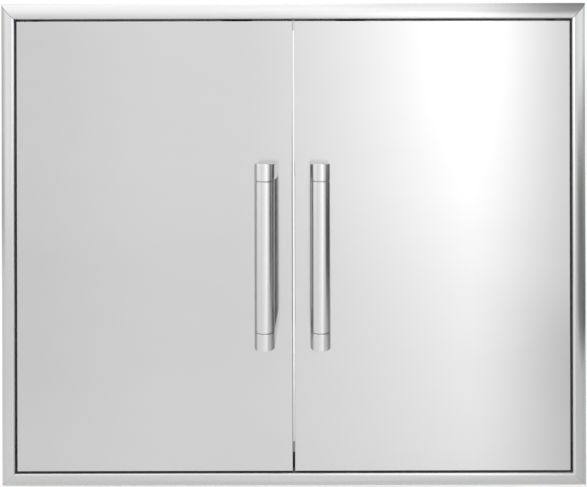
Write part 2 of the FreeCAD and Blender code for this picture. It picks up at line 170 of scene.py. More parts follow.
# %% Finish helpers
class Finish(Graph):
    """One material."""

    def __init__(self, name, metallic=1.0):
        self.material = bpy.data.materials.new(name)
        self.material.use_nodes = True
        super().__init__(self.material.node_tree)
        self.shader = self.tree.nodes["Principled BSDF"]
        self.surface = self.tree.nodes["Material Output"].inputs["Surface"]
        self.shader.inputs["Metallic"].default_value = metallic
        self.place = self.add("ShaderNodeTexCoord").outputs["Object"]

    def place_numbers(self):
        """The place on the object as three sockets, in metres."""
        split = self.add("ShaderNodeSeparateXYZ")
        self.feed(split.inputs[0], self.place)
        return split.outputs

    def noise(self, grain_size, detail=3.0, start=0.0):
        """Soft random shading from 0 to 1. grain_size is one grain's length along X, Y and Z."""
        mapping = self.add("ShaderNodeMapping")
        mapping.inputs["Location"].default_value = (start, start, start)
        mapping.inputs["Scale"].default_value = [1 / length for length in grain_size]
        self.feed(mapping.inputs["Vector"], self.place)
        texture = self.add("ShaderNodeTexNoise")
        texture.inputs["Scale"].default_value = 1.0
        texture.inputs["Detail"].default_value = detail
        self.feed(texture.inputs["Vector"], mapping.outputs["Vector"])
        return texture.outputs[0]

    def spread(self, value, low, high):
        """Stretches the useful middle of a noise, from 0.3 to 0.7, over low to high."""
        return self.ramp(value, 0.3, 0.7, low, high, "LINEAR")

    def facing(self, axis):
        """1 where the surface faces along an axis, either way, and 0 where it faces across it."""
        normal = self.add("ShaderNodeSeparateXYZ")
        self.feed(normal.inputs[0], self.add("ShaderNodeTexCoord").outputs["Normal"])
        return self.math("ABSOLUTE", normal.outputs[axis])

    def near(self, value, middle, reach, soft):
        """1 where value is within reach of middle, falling to 0 over soft beyond that."""
        distance = self.math("ABSOLUTE", self.math("SUBTRACT", value, middle))
        return self.ramp(distance, reach + soft, reach)

    def grey(self, level):
        """A grey colour from a socket."""
        node = self.add("ShaderNodeCombineColor")
        for channel in ("Red", "Green", "Blue"):
            self.feed(node.inputs[channel], level)
        return node.outputs["Color"]

    def bump(self, height, depth):
        """Raises the surface's shading by depth metres where height is 1."""
        node = self.add("ShaderNodeBump")
        node.inputs["Strength"].default_value = 1.0
        node.inputs["Distance"].default_value = depth
        self.feed(node.inputs["Height"], height)
        self.feed(self.shader.inputs["Normal"], node.outputs["Normal"])

    def stretch_highlights(self, amount, direction):
        """Smears reflections along one direction."""
        turn = self.add("ShaderNodeVectorTransform", vector_type="VECTOR",
                        convert_from="OBJECT", convert_to="WORLD")
        turn.inputs[0].default_value = direction
        self.feed(self.shader.inputs["Tangent"], turn.outputs[0])
        self.shader.inputs["Anisotropic"].default_value = amount


print("a finish can also", ", ".join(name for name in vars(Finish) if not name.startswith("_")))

# %% [markdown]
# ## Brushed steel
#
# Sheet for such doors is sanded in one direction. Each scratch is a tiny groove, so the steel is
# smooth along it and rough across it: a lamp's reflection stays narrow along the grain and smears
# out across it. Blender calls this anisotropy. Fine streaks in the colour, the roughness and the
# bump make the grain itself, and a faint cloudiness keeps a big sheet from looking like plastic.
#
# Only what faces outwards is sanded. The folds that look into a gap are rougher and get painted
# shade: their tone is set darker for the shade in the gap. The bends between the two get a painted
# highlight, a brighter tone for the lamp's reflection. Both are found from the direction in which
# the surface faces, so no edge has to be drawn by hand.

# %% Brushed steel
across_up = (0.02, 0.04, 1.0)
across_right = (1.0, 0.04, 0.02)
sheet_cloud_size = (0.16, 0.16, 0.05)
streak_contrast, cloud_contrast, roughness_contrast = 0.006, 0.004, 0.02
fold_starts, fold_full = 0.35, 0.05
bend_starts, bend_full, bend_fades, bend_ends = 0.30, 0.55, 0.93, 0.995
fold_roughness = 0.25


def brushed_steel(name, level, roughness, smear, across, grain_size, fold_painted_shade_level=None,
                  bend_painted_highlight=0.0, metallic=1.0, marks=None, contrast=1.0, grain_depth=0.000004):
    """Sanded sheet. Reflections smear along across, and marks adds light and dark marks."""
    finish = Finish(name, metallic)
    fine = finish.noise(grain_size)
    cloud = finish.noise(sheet_cloud_size, detail=2.0, start=7.0)
    streaks = finish.spread(fine, -streak_contrast * contrast, streak_contrast * contrast)
    clouds = finish.spread(cloud, -cloud_contrast * contrast, cloud_contrast * contrast)
    tone = finish.math("ADD", level, finish.math("ADD", streaks, clouds))
    uneven = finish.spread(fine, -roughness_contrast, roughness_contrast)
    rough = finish.math("ADD", uneven, roughness)
    # Painted shade on the folds that face a gap, and a painted highlight on the bends.
    if fold_painted_shade_level:
        outwards = finish.facing(1)
        fold = finish.ramp(outwards, fold_starts, fold_full)
        bend = finish.window(outwards, bend_starts, bend_full, bend_fades, bend_ends)
        tone = finish.math("ADD", tone, finish.product(fold, fold_painted_shade_level - level))
        tone = finish.math("ADD", tone, finish.product(bend, bend_painted_highlight))
        rough = finish.math("ADD", rough, finish.product(fold, fold_roughness))
    if marks:
        tone = marks(finish, tone)
    finish.feed(finish.shader.inputs["Base Color"], finish.grey(tone))
    finish.feed(finish.shader.inputs["Roughness"], rough)
    finish.bump(fine, grain_depth)
    finish.stretch_highlights(smear, across)
    print(name, "made of", len(finish.tree.nodes), "nodes")
    return finish


# %% [markdown]
# ## Marks of the making, and painted highlights and shades
#
# Where the steel was worked it keeps a mark. Two rails meet in a mitre, which shows as a hairline,
# darker above than below. On the upper half of the upright rails the lip gets a painted highlight,
# stronger higher up. A tray has rows of small round dimples where it is spot welded to the skin's
# folds. A bar's flanks get painted shade, darker than its front, and the grooves at its posts get
# painted shade too.
#
# Each mark could be a thin piece of its own, but a mark has no thickness. So it is a change of the
# steel's tone, drawn from measures of the construction model.

# %% Marks on the rails
rail_outer_x, rail_outer_z = cad_high.x, cad_high.z
opening_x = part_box("right_moulding")[0].x
hairline_reach, hairline_soft = 0.0003, 0.0007
hairline_low_z, hairline_high_z, hairline_faint, hairline_dark = -0.20, 0.20, 0.15, 0.45
# The lip's painted highlight: where it sits, and how bright it gets higher up.
lip_inset, lip_reach, lip_soft = 0.0016, 0.0006, 0.0010
lip_low_z, lip_high_z, lip_painted_highlight = -0.05, 0.28, 0.20


def mitre_marks(finish, tone):
    """The hairline where two rails meet."""
    across, _, height = finish.place_numbers()
    across_less_height = finish.math("SUBTRACT", finish.math("ABSOLUTE", across),
                                     finish.math("ABSOLUTE", height))
    hairline = finish.near(across_less_height, rail_outer_x - rail_outer_z,
                           hairline_reach, hairline_soft)
    darkness = finish.ramp(height, hairline_low_z, hairline_high_z, hairline_faint, hairline_dark)
    return finish.product(tone, finish.remaining(finish.product(hairline, darkness)))


def upright_marks(finish, tone):
    """The hairline, and a painted highlight on the lip that grows higher up."""
    across, _, height = finish.place_numbers()
    # Painted highlight on the lip, stronger higher up.
    lip = finish.near(finish.math("ABSOLUTE", across), opening_x + lip_inset, lip_reach, lip_soft)
    higher = finish.ramp(height, lip_low_z, lip_high_z, shape="LINEAR")
    lip_highlight = finish.product(lip, higher, lip_painted_highlight)
    return mitre_marks(finish, finish.math("ADD", tone, lip_highlight))


print("mitres from the corners at", round(rail_outer_x, 4), round(rail_outer_z, 4),
      "to the opening at", round(opening_x, 4))

# %% Marks on the trays
tray_low, tray_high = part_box("right_door_liner")
weld_row_inset = 0.009
inner_row_x, outer_row_x = tray_low.x + weld_row_inset, tray_high.x - weld_row_inset
end_row_z = tray_high.z - weld_row_inset
spot_pitch = 0.055
spot_radius, spot_reach, spot_soft, spot_darkness = 0.0022, 0.0006, 0.0008, 0.35


def spot_welds(finish, tone):
    """Rows of dimples all round a tray's edge, each drawn as a dark ring."""
    across, _, height = finish.place_numbers()
    from_middle = finish.math("ABSOLUTE", across)
    from_centre = finish.math("ABSOLUTE", height)
    rings = 0.0
    for distance, row, along in ((from_middle, outer_row_x, height),
                                 (from_middle, inner_row_x, height),
                                 (from_centre, end_row_z, across)):
        turns = finish.math("FRACT", finish.math("DIVIDE", along, spot_pitch))
        past = finish.product(finish.math("SUBTRACT", turns, 0.5), spot_pitch)
        beside = finish.math("SUBTRACT", distance, row)
        squares = finish.math("ADD", finish.product(beside, beside), finish.product(past, past))
        ring = finish.near(finish.math("SQRT", squares), spot_radius, spot_reach, spot_soft)
        rings = finish.math("MAXIMUM", rings, ring)
    return finish.product(tone, finish.remaining(finish.product(rings, spot_darkness)))


print("spot weld rows at", round(inner_row_x, 4), round(outer_row_x, 4), round(end_row_z, 4))

# %% Marks on the bars
tube_low, tube_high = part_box("left_handle_tube")
# Painted shade in the grooves and on the flanks: where each sits and how dark it is.
groove_reach, groove_soft, groove_painted_shade = 0.0007, 0.0003, 0.30
upper_groove_z, lower_groove_z = tube_high.z + groove_reach, tube_low.z - groove_reach
flank_starts, flank_full, flank_painted_shade = 0.55, 0.85, 0.25


def bar_marks(finish, tone):
    """Painted shade on the flanks and in the two grooves."""
    height = finish.place_numbers()[2]
    # Painted shade in the two grooves.
    grooves = finish.math("MAXIMUM",
                          finish.near(height, upper_groove_z, groove_reach, groove_soft),
                          finish.near(height, lower_groove_z, groove_reach, groove_soft))
    # Painted shade on the flanks, which face sideways.
    flank = finish.ramp(finish.facing(0), flank_starts, flank_full)
    return finish.product(tone, finish.remaining(finish.product(grooves, groove_painted_shade)),
                          finish.remaining(finish.product(flank, flank_painted_shade)))


print("grooves at", round(upper_groove_z, 4), round(lower_groove_z, 4))

# %% [markdown]
# ## Which piece wears which steel
#
# The doors are brushed from side to side, and each rail along its length. On the bars a reflection
# is drawn out along them, so the lamp's line runs from post to post. Inside, the trays and the
# sleeve are sheet as it comes from the mill: the grain is coarser, and it is duller and cloudier.
# Two pieces of the sleeve differ, and both show in the gap between the doors: at its top a trace of
# the head, whose tone is set lighter, a painted light for the light that falls there, and at its
# foot the sill, whose tone is set darker, a painted shade for the shade there.

# %% The steel outside
def wear(names, finish):
    """Gives CAD nodes a finish."""
    for name in names:
        node = frame["nodes"][name]
        node.data.materials.clear()
        node.data.materials.append(finish.material)
    print(finish.material.name, "on", ", ".join(names))


def both(*names):
    """The left and the right node of each name."""
    return [side + "_" + name for name in names for side in ("left", "right")]


# The grey of the painted shade on the folds that face a gap.
fold_painted_shade_grey = 0.30
door_steel = brushed_steel(
    "door_brushed_steel", level=0.585, roughness=0.14, smear=0.4, across=across_up,
    grain_size=(0.06, 0.0012, 0.0004), fold_painted_shade_level=fold_painted_shade_grey, bend_painted_highlight=0.14)
lying_rail_steel = brushed_steel(
    "lying_rail_steel", level=0.58, roughness=0.20, smear=0.6, across=across_up,
    grain_size=(0.06, 0.0006, 0.0006), fold_painted_shade_level=fold_painted_shade_grey, metallic=0.85, marks=mitre_marks)
upright_rail_steel = brushed_steel(
    "upright_rail_steel", level=0.59, roughness=0.24, smear=0.6, across=across_right,
    grain_size=(0.0006, 0.0006, 0.06), fold_painted_shade_level=fold_painted_shade_grey, metallic=0.80, marks=upright_marks)
bar_steel = brushed_steel(
    "handle_steel", level=0.64, roughness=0.22, smear=0.8, across=across_up,
    grain_size=(0.0008, 0.0008, 0.03), marks=bar_marks, grain_depth=0.0000015)
wear(both("door_skin"), door_steel)
wear(["head_moulding", "sill_moulding"], lying_rail_steel)
wear(both("moulding"), upright_rail_steel)
wear(both("handle_tube", "handle_upper_post", "handle_lower_post"), bar_steel)

# %% The steel inside
mill_grain = (0.05, 0.001, 0.0008)


def mill_steel(name, level, roughness, contrast=4.0, smear=0.3, marks=None):
    """Sheet that nobody has sanded."""
    return brushed_steel(name, level, roughness, smear, across_up, mill_grain,
                         contrast=contrast, marks=marks)


wear(both("door_liner"), mill_steel("tray_steel", 0.52, 0.34, smear=0.4, marks=spot_welds))
wear(both("sleeve"), mill_steel("inner_steel", 0.50, 0.38))
# The head gets painted light: its sheet is set brighter for the light that reaches it in the gap.
wear(["head_sleeve"], mill_steel("head_sleeve_painted_light_steel", 0.80, 0.24))
# The sill and its stop get painted shade: their sheet is set darker for the shade in the gap.
wear(["sill_sleeve", "sill_stop"], mill_steel("sill_painted_shade_steel", 0.22, 0.48, contrast=3.0))

# %% [markdown]
# ## Plain and plated steel, and the parts that aren't steel
#
# Inside, the brackets and plates are mill steel too, but small: a matte sheet with soft clouds from
# the rolls and no grain that shows. Pins, screws, nuts and rivets are zinc plated, brighter and a
# little blue, and mottled by the bath. The hinge plates are blackened, and the bearing blocks and
# washers are black oil-filled nylon, so that nothing shines in the gap above a door. Catch bodies
# are black moulded plastic with a fine spark texture, the magnets ground ferrite, and the buffers
# black rubber with a bloom of grey on it. One recipe makes all of them.

# %% Small parts' finishes
finish_by_slot = {}
colour_a, colour_b, mixed_colour = 6, 7, 2      # the sockets of a Mix node that mixes colours
roughness_spread = 0.15


def mottled(slot, colour, metallic, roughness, cloud_size, grain_size, contrast, grain_depth):
    """A finish with clouds in its colour and a fine grain in its roughness and bump."""
    finish = Finish(slot, metallic)
    cloud = finish.noise([cloud_size] * 3, start=3.0)
    grain = finish.noise([grain_size] * 3)
    shade = finish.math("ADD", finish.spread(cloud, 1.0 - contrast, 1.0 + contrast),
                        finish.spread(grain, -contrast / 3, contrast / 3))
    tint = finish.add("ShaderNodeMix", data_type="RGBA", blend_type="MULTIPLY")
    tint.inputs[0].default_value = 1.0
    tint.inputs[colour_a].default_value = (*colour, 1.0)
    finish.feed(tint.inputs[colour_b], finish.grey(shade))
    finish.feed(finish.shader.inputs["Base Color"], tint.outputs[mixed_colour])
    rough = finish.spread(grain, roughness * (1 - roughness_spread),
                          roughness * (1 + roughness_spread))
    finish.feed(finish.shader.inputs["Roughness"], rough)
    finish.bump(grain, grain_depth)
    finish_by_slot[slot] = finish


mottled("plain_steel", (0.50, 0.50, 0.51), metallic=1.0, roughness=0.38,
        cloud_size=0.020, grain_size=0.0008, contrast=0.05, grain_depth=0.000006)
mottled("plated_steel", (0.58, 0.60, 0.64), metallic=1.0, roughness=0.28,
        cloud_size=0.006, grain_size=0.0020, contrast=0.05, grain_depth=0.000003)
mottled("blackened_steel", (0.10, 0.10, 0.105), metallic=0.8, roughness=0.45,
        cloud_size=0.010, grain_size=0.0008, contrast=0.12, grain_depth=0.000006)
mottled("nylon", (0.040, 0.040, 0.042), metallic=0.0, roughness=0.42,
        cloud_size=0.006, grain_size=0.0005, contrast=0.10, grain_depth=0.000006)
mottled("black_plastic", (0.035, 0.035, 0.037), metallic=0.0, roughness=0.50,
        cloud_size=0.010, grain_size=0.0004, contrast=0.15, grain_depth=0.000020)
mottled("ferrite", (0.07, 0.07, 0.075), metallic=0.0, roughness=0.45,
        cloud_size=0.003, grain_size=0.0004, contrast=0.15, grain_depth=0.000010)
mottled("black_rubber", (0.028, 0.028, 0.028), metallic=0.0, roughness=0.75,
        cloud_size=0.004, grain_size=0.0005, contrast=0.25, grain_depth=0.000015)
for slot, finish in finish_by_slot.items():
    wear([part["node"] for part in frame["record"]["subparts"] if part["material_slot"] == slot],
         finish)

# %% [markdown]
# ## Screws, nuts, rivets and buffers
#
# The construction model keeps these as plain cylinders and prisms. Here they get what a hand would
# feel: a socket in each screw head, chamfered nuts, the last thread past the nut, a dimple in each
# rivet and a dome on each rubber buffer. All of them are turned shapes. A turned shape is a row of
# rings about an axis, each with its reach and its height in millimetres, and a six-sided ring makes
# a nut or a socket. Blender could also spin an outline, but rings let round and six-sided meet in
# one piece. The new piece stands for the construction node and rides on the same body.

# %% Rings
MM = 0.001
ring_steps = 24


def ring_of(builder, reach, height, six_sided=False):
    """A ring of points about Z. The reach of a six-sided ring is measured to its corners."""
    points = []
    for step in range(ring_steps):
        angle = 2 * math.pi * step / ring_steps
        out = reach
        if six_sided:
            past_corner = angle % (math.pi / 3) - math.pi / 6
            out = reach * math.cos(math.pi / 6) / math.cos(past_corner)
        x, y = out * math.cos(angle), out * math.sin(angle)
        points.append(builder.verts.new((x * MM, y * MM, height * MM)))
    return points


def join_rings(builder, lower, upper):
    for step in range(ring_steps):
        following = (step + 1) % ring_steps
        builder.faces.new((lower[step], lower[following], upper[following], upper[step]))


print("a ring has", ring_steps, "points")

# %% Pieces made of rings
round_below = 40


def finish_piece(name, builder, body, slot, replaced, smooth_below=round_below):
    """Makes an object of a bmesh, gives it its finish and lets it ride on its body."""
    mesh = bpy.data.meshes.new(name)
    builder.to_mesh(mesh)
    builder.free()
    for polygon in mesh.polygons:
        polygon.use_smooth = True
    mesh.set_sharp_from_angle(angle=math.radians(smooth_below))
    mesh.materials.append(finish_by_slot[slot].material)
    piece = bpy.data.objects.new(name, mesh)
    bpy.context.scene.collection.objects.link(piece)
    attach(piece, body)
    if replaced:
        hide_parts(*replaced)
    print(name, "on", body, "with", len(mesh.polygons), "faces")


def turned_piece(name, body, slot, replaced, rings, seats, hollow=False):
    """The same turned shape on each seat, as one piece. A seat is a place in mm and an axis."""
    builder = bmesh.new()
    for place, axis in seats:
        loops = [ring_of(builder, *ring) for ring in rings]
        for lower, upper in zip(loops, loops[1:]):
            join_rings(builder, lower, upper)
        if hollow:
            join_rings(builder, loops[-1], loops[0])
        else:
            builder.faces.new(list(reversed(loops[0])))
            builder.faces.new(loops[-1])
        turn = Vector((0, 0, 1)).rotation_difference(Vector(axis)).to_matrix().to_4x4()
        to_seat = Matrix.Translation(Vector(place) * MM) @ turn
        points = [point for loop in loops for point in loop]
        bmesh.ops.transform(builder, matrix=to_seat, verts=points)
    finish_piece(name, builder, body, slot, replaced)


print("edges below", round_below, "degrees are shaded smooth")

# %% [markdown]
# ### Where the frame's fasteners sit
#
# The places of the hinge and bracket screws and their nuts are read from the construction model's
# boxes, so these new pieces go exactly where the old ones were; the places of the small screws in
# the catch bodies are given in millimetres. Each hinge plate is held by two screws with nuts, and
# so is each catch bracket. Two small screws hold each catch body to its bracket from behind.

# %% Seats of the frame's fasteners
screw_reach, screw_reach_along_y = 3.6, 3.59
nut_height = 3.2
plate_low, plate_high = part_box("right_upper_hinge_plate")
hinge_x = (plate_low.x + plate_high.x) / 2 / MM
plate_face_z = plate_low.z / MM
screw_low, screw_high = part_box("hinge_plate_screws")
hinge_screw_y = (screw_low.y / MM + screw_reach, screw_high.y / MM - screw_reach)
sleeve_top_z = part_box("hinge_plate_nuts")[1].z / MM - nut_height

bracket_low, bracket_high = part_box("right_catch_bracket")
catch_x = (bracket_low.x + bracket_high.x) / 2 / MM
catch_screws_low, catch_screws_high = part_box("catch_bracket_screws")
catch_screw_x = catch_screws_high.x / MM - screw_reach - catch_x
catch_screw_y = catch_screws_low.y / MM + screw_reach_along_y
catch_head_z = catch_screws_low.z / MM
body_screw_x, body_screw_y, body_screw_z = 15.5, 23.4, 293.5

hinge_screw_seats, hinge_nut_seats = [], []
for side in (-1, 1):
    for end in (-1, 1):
        for y in hinge_screw_y:
            hinge_screw_seats.append(((side * hinge_x, y, end * plate_face_z), (0, 0, end)))
            hinge_nut_seats.append(((side * hinge_x, y, end * sleeve_top_z), (0, 0, end)))
catch_screw_seats, catch_nut_seats, body_screw_seats = [], [], []
for side in (-1, 1):
    for offset in (-1, 1):
        x = side * catch_x + offset * catch_screw_x
        catch_screw_seats.append(((x, catch_screw_y, catch_head_z), (0, 0, 1)))
        catch_nut_seats.append(((x, catch_screw_y, sleeve_top_z), (0, 0, 1)))
        body_screw_seats.append(((side * catch_x + offset * body_screw_x, body_screw_y,
                                  body_screw_z), (0, -1, 0)))
print(len(hinge_screw_seats), "hinge screws,", len(catch_screw_seats), "catch screws,",
      len(body_screw_seats), "body screws")

# %% [markdown]
# ### Their outlines
#
# A screw's outline starts at the bottom of its socket, comes out over the head and goes down the
# shank to the last thread. The hinge plates have countersunk screws, so that a door passes over
# them, and the brackets have cap heads.

# %% Outlines of screws and nuts
socket = [(1.0, 1.4, True), (1.45, 1.3, True), (1.45, 0.1, True), (1.6, 0.0, True)]
countersunk_head = [(3.35, 0.0), (3.6, 0.12), (2.0, 1.6)]
cap_head = [(2.9, 0.0), (3.4, 0.2), (3.6, 0.6), (3.6, 1.6), (2.0, 1.6)]
thread_end = [(2.0, -0.75), (1.8, -0.6), (2.0, -0.45), (2.0, -0.3), (1.7, 0.0)]
countersunk_length, cap_length = 7.3, 8.6
nut = [(2.0, 0.0), (3.5, 0.0), (4.05, 0.3, True), (4.05, 2.75, True),
       (3.5, nut_height), (2.2, nut_height), (2.0, 3.0)]
small_screw = [(0.6, 1.1, True), (0.9, 1.0, True), (0.9, 0.0, True), (1.9, 0.0), (2.3, 0.25),
               (2.4, 0.7), (2.4, 1.4), (1.2, 1.4), (1.2, 8.45), (0.9, 8.75)]


def machine_screw(head, length):
    """The outline of a screw with a socket in its head and a thread at its end."""
    return socket + head + [(reach, length + height) for reach, height in thread_end]


turned_piece("hinge_plate_socket_screws", "frame", "plated_steel", ["hinge_plate_screws"],
             machine_screw(countersunk_head, countersunk_length), hinge_screw_seats)
turned_piece("hinge_plate_chamfered_nuts", "frame", "plated_steel", ["hinge_plate_nuts"],
             nut, hinge_nut_seats, hollow=True)
turned_piece("catch_bracket_socket_screws", "frame", "plated_steel", ["catch_bracket_screws"],
             machine_screw(cap_head, cap_length), catch_screw_seats)
turned_piece("catch_bracket_chamfered_nuts", "frame", "plated_steel", ["catch_bracket_nuts"],
             nut, catch_nut_seats, hollow=True)
turned_piece("catch_body_socket_screws", "frame", "plated_steel", ["catch_body_screws"],
             small_screw, body_screw_seats)

# %% [markdown]
# ### Buffers and rivets
#
# The doors shut against four rubber domes on the sill stop. The rivets hold the striker plates to
# the doors' trays: each has a dimple where the tool pressed it, and a rolled head on the far side.

# %% Rubber domes on the sill and rivets on the doors
buffer_low, buffer_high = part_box("sill_buffers")
buffer_z = (buffer_low.z + buffer_high.z) / 2 / MM
buffer_places_x = (-300, -40, 40, 300)
buffer_seats = [((x, buffer_high.y / MM, buffer_z), (0, -1, 0)) for x in buffer_places_x]
dome = [(5.0, 0.0), (5.0, 0.9), (4.7, 1.7), (3.9, 2.3), (2.4, 2.62), (1.0, 2.7)]
turned_piece("sill_domed_buffers", "frame", "black_rubber", ["sill_buffers"], dome, buffer_seats)

rivet_offset_x = 14
dimpled_rivet = [(0.6, 0.25), (1.2, 0.0), (1.45, 0.0), (1.6, 0.15), (1.6, 2.5), (3.2, 2.5),
                 (2.9, 3.2), (1.6, 3.5)]
for side, sign in (("left", -1), ("right", 1)):
    rivet_low, rivet_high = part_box(side + "_striker_rivets")
    rivet_y, rivet_z = rivet_high.y / MM, (rivet_low.z + rivet_high.z) / 2 / MM
    rivet_seats = [((sign * catch_x + offset, rivet_y, rivet_z), (0, -1, 0))
                   for offset in (-rivet_offset_x, rivet_offset_x)]
    turned_piece(side + "_dimpled_rivets", side + "_door", "plated_steel",
                 [side + "_striker_rivets"], dimpled_rivet, rivet_seats)

# %% [markdown]
# ## The magnets' pole plates
#
# A catch magnet is a slice of ferrite between two steel plates, and it is the plates' edges that
# hold the striker. They stand a third of a millimetre proud of the ferrite. All three are blocks,
# so each starts as Blender's cube, is stretched to its two corners and has its edges rounded.

# %% Magnets
def add_block(builder, low, high, rounding):
    """A block with rounded edges between two corners in millimetres."""
    middle = [(a + b) / 2 * MM for a, b in zip(low, high)]
    size = [(b - a) * MM for a, b in zip(low, high)]
    shape = Matrix.Translation(middle) @ Matrix.Diagonal((*size, 1.0))
    points = bmesh.ops.create_cube(builder, size=1.0, matrix=shape)["verts"]
    edges = list({edge for point in points for edge in point.link_edges})
    bmesh.ops.bevel(builder, geom=edges, offset=rounding * MM, segments=2, profile=0.5,
                    affect="EDGES")


pole_thickness, pole_rounding = 1.3, 0.2
ferrite_recess, ferrite_inset, ferrite_rounding = 0.35, 0.1, 0.15
for side in ("left", "right"):
    node = side + "_catch_magnet"
    low, high = [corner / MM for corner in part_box(node)]
    lower_pole_top, upper_pole_foot = low.z + pole_thickness, high.z - pole_thickness
    ferrite_block = bmesh.new()
    add_block(ferrite_block, (low.x + ferrite_inset, low.y + ferrite_recess, lower_pole_top),
              (high.x - ferrite_inset, high.y, upper_pole_foot), ferrite_rounding)
    finish_piece(side + "_ferrite_slice", ferrite_block, "frame", "ferrite", [node])
    poles = bmesh.new()
    add_block(poles, (low.x, low.y, low.z), (high.x, high.y, lower_pole_top), pole_rounding)
    add_block(poles, (low.x, low.y, upper_pole_foot), (high.x, high.y, high.z), pole_rounding)
    finish_piece(side + "_pole_plates", poles, "frame", "plain_steel", [])

# %% [markdown]
# ## The welds in the sleeve's corners
#
# The sleeve's four angles meet in mitres that are welded inside. A bead runs along each corner,
# laid down in small overlapping scales. A bump in the finish would leave its outline straight, so
# the bead is a real shape: slices with five corners, each a little larger or smaller than the last.

# %% Weld beads
bead_leg = 2.4
crown_far, crown_near = 0.72, 0.42
bead_start, bead_end = 2.0, 55.5
scale_pitch, scale_depth, steps_per_scale = 1.9, 0.09, 6
weld_steps = int((bead_end - bead_start) / scale_pitch * steps_per_scale)
opening_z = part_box("head_sleeve")[0].z / MM


def bead_section(leg):
    """One slice, as distances from the two walls of the corner."""
    return [(0.0, 0.0), (leg, 0.0), (leg * crown_far, leg * crown_near),
            (leg * crown_near, leg * crown_far), (0.0, leg)]


beads = bmesh.new()
for side in (-1, 1):
    for end in (-1, 1):
        slices = []
        for step in range(weld_steps + 1):
            phase = step % steps_per_scale / steps_per_scale
            leg = bead_leg * (1 - scale_depth + scale_depth * math.sin(math.pi * phase))
            y = bead_start + (bead_end - bead_start) * step / weld_steps
            slices.append([beads.verts.new((side * (opening_x / MM - across) * MM, y * MM,
                                            end * (opening_z - up) * MM))
                           for across, up in bead_section(leg)])
        for here, there in zip(slices, slices[1:]):
            for corner in range(5):
                after = (corner + 1) % 5
                beads.faces.new((here[corner], here[after], there[after], there[corner]))
        beads.faces.new(slices[0])
        beads.faces.new(list(reversed(slices[-1])))
bmesh.ops.recalc_face_normals(beads, faces=beads.faces)
finish_piece("sleeve_weld_beads", beads, "frame", "plain_steel", [], smooth_below=60)

# %% [markdown]
# ## Edges of the formed plates
#
# A pressed plate has no knife edges. A small bevel rounds them, as a modifier, so the construction
# mesh stays as it is. That mesh has a seam between any two patches and thin triangles between its
# holes, so its points are welded and its flats made whole first. An edge split afterwards keeps the
# flats flat.

# %% Soft edges
same_point_mm = 0.01
flat_below, round_above, crisp_above = 1, 40, 25


def soften_edges(names, width):
    """Bevels the sharp edges of CAD nodes by a width in millimetres."""
    for name in names:
        node = frame["nodes"][name]
        node.modifiers.new("weld", "WELD").merge_threshold = same_point_mm * MM
        flats = node.modifiers.new("whole_flats", "DECIMATE")
        flats.decimate_type = "DISSOLVE"
        flats.angle_limit = math.radians(flat_below)
        bevel = node.modifiers.new("bevel", "BEVEL")
        bevel.width = width * MM
        bevel.segments = 2
        bevel.limit_method = "ANGLE"
        bevel.angle_limit = math.radians(round_above)
        node.modifiers.new("crisp", "EDGE_SPLIT").split_angle = math.radians(crisp_above)
    print(len(names), "nodes with edges softened by", width, "mm")


soften_edges(["sill_stop"] + both("upper_hinge_plate", "lower_hinge_plate", "catch_bracket",
                                  "catch_body", "striker"), 0.25)

# %% [markdown]
# ## The light tent
#
# Steel shows what is around it, so the studio is made with care. It is a white tent: from every
# side comes plain white of strength 1, and a grey of 0.6 comes out as 0.6. Some parts of the tent
# are brighter and some duller than that. They could be panels and lamps, but a tent is smooth
# everywhere, and panels would stand in the way of a door that opens. So all of it is made in the
# world, as brightness by direction.
#
# Three measures say where a direction points. Its azimuth is 0 straight in front of the doors, 90
# at their right and -90 at their left. Its angle overhead is 0 in front, 90 straight up and 180
# behind. And upward is how much it rises, from -1 to 1.

# %% Directions around the object
world = bpy.data.worlds.new("light_tent")
world.use_nodes = True
bpy.context.scene.world = world
tent = Graph(world.node_tree)
direction = tent.add("ShaderNodeSeparateXYZ")
tent.feed(direction.inputs[0], tent.add("ShaderNodeTexCoord").outputs["Generated"])
to_right, to_back, upward = direction.outputs
to_front = tent.product(to_back, -1.0)
azimuth = tent.math("DEGREES", tent.math("ARCTAN2", to_right, to_front))
overhead = tent.math("DEGREES", tent.math("ARCTAN2", upward, to_front))
print("directions measured with", len(tent.tree.nodes), "nodes")

# %% [markdown]
# ### What glows
#
# The front wall glows a little behind the camera. The roof is the brightest, from low in front to
# far behind, and thins out at the back towards the right. There is a glow on the left wall at the
# doors' height, and one higher up on the right. Each has a strength, and then the directions
# between which it fades in and out.

# %% Glows
wall_strength, roof_strength, left_strength, right_strength = 0.13, 0.58, 0.26, 0.34
wall_foot, roof_thinning = 0.6, 0.45
wall_glow = tent.product(wall_strength, tent.window(azimuth, -34, -16, 18, 32),
                         tent.ramp(upward, -0.70, -0.30, low=wall_foot))
roof_thins = tent.product(roof_thinning, tent.ramp(to_right, 0.02, 0.20),
                          tent.ramp(overhead, 75, 115))
roof_glow = tent.product(roof_strength, tent.window(overhead, 5, 75, 150, 178),
                         tent.ramp(upward, 0.10, 0.45), tent.remaining(roof_thins))
left_glow = tent.product(left_strength, tent.window(azimuth, -98, -70, -44, -34),
                         tent.window(upward, -0.25, -0.02, 0.30, 0.55))
right_glow = tent.product(right_strength, tent.ramp(azimuth, 45, 65),
                          tent.window(upward, 0.02, 0.14, 0.42, 0.60))
glows = (wall_glow, roof_glow, left_glow, right_glow)
print(len(glows), "glows")

# %% [markdown]
# ### What is dull
#
# At the left, past the wall, the room is grey, and greyer below than above. At the right the roof
# ends early, in front and behind, and the floor is dull. A faint darker band runs all round the
# floor, and straight underneath, the object stands in its own light.

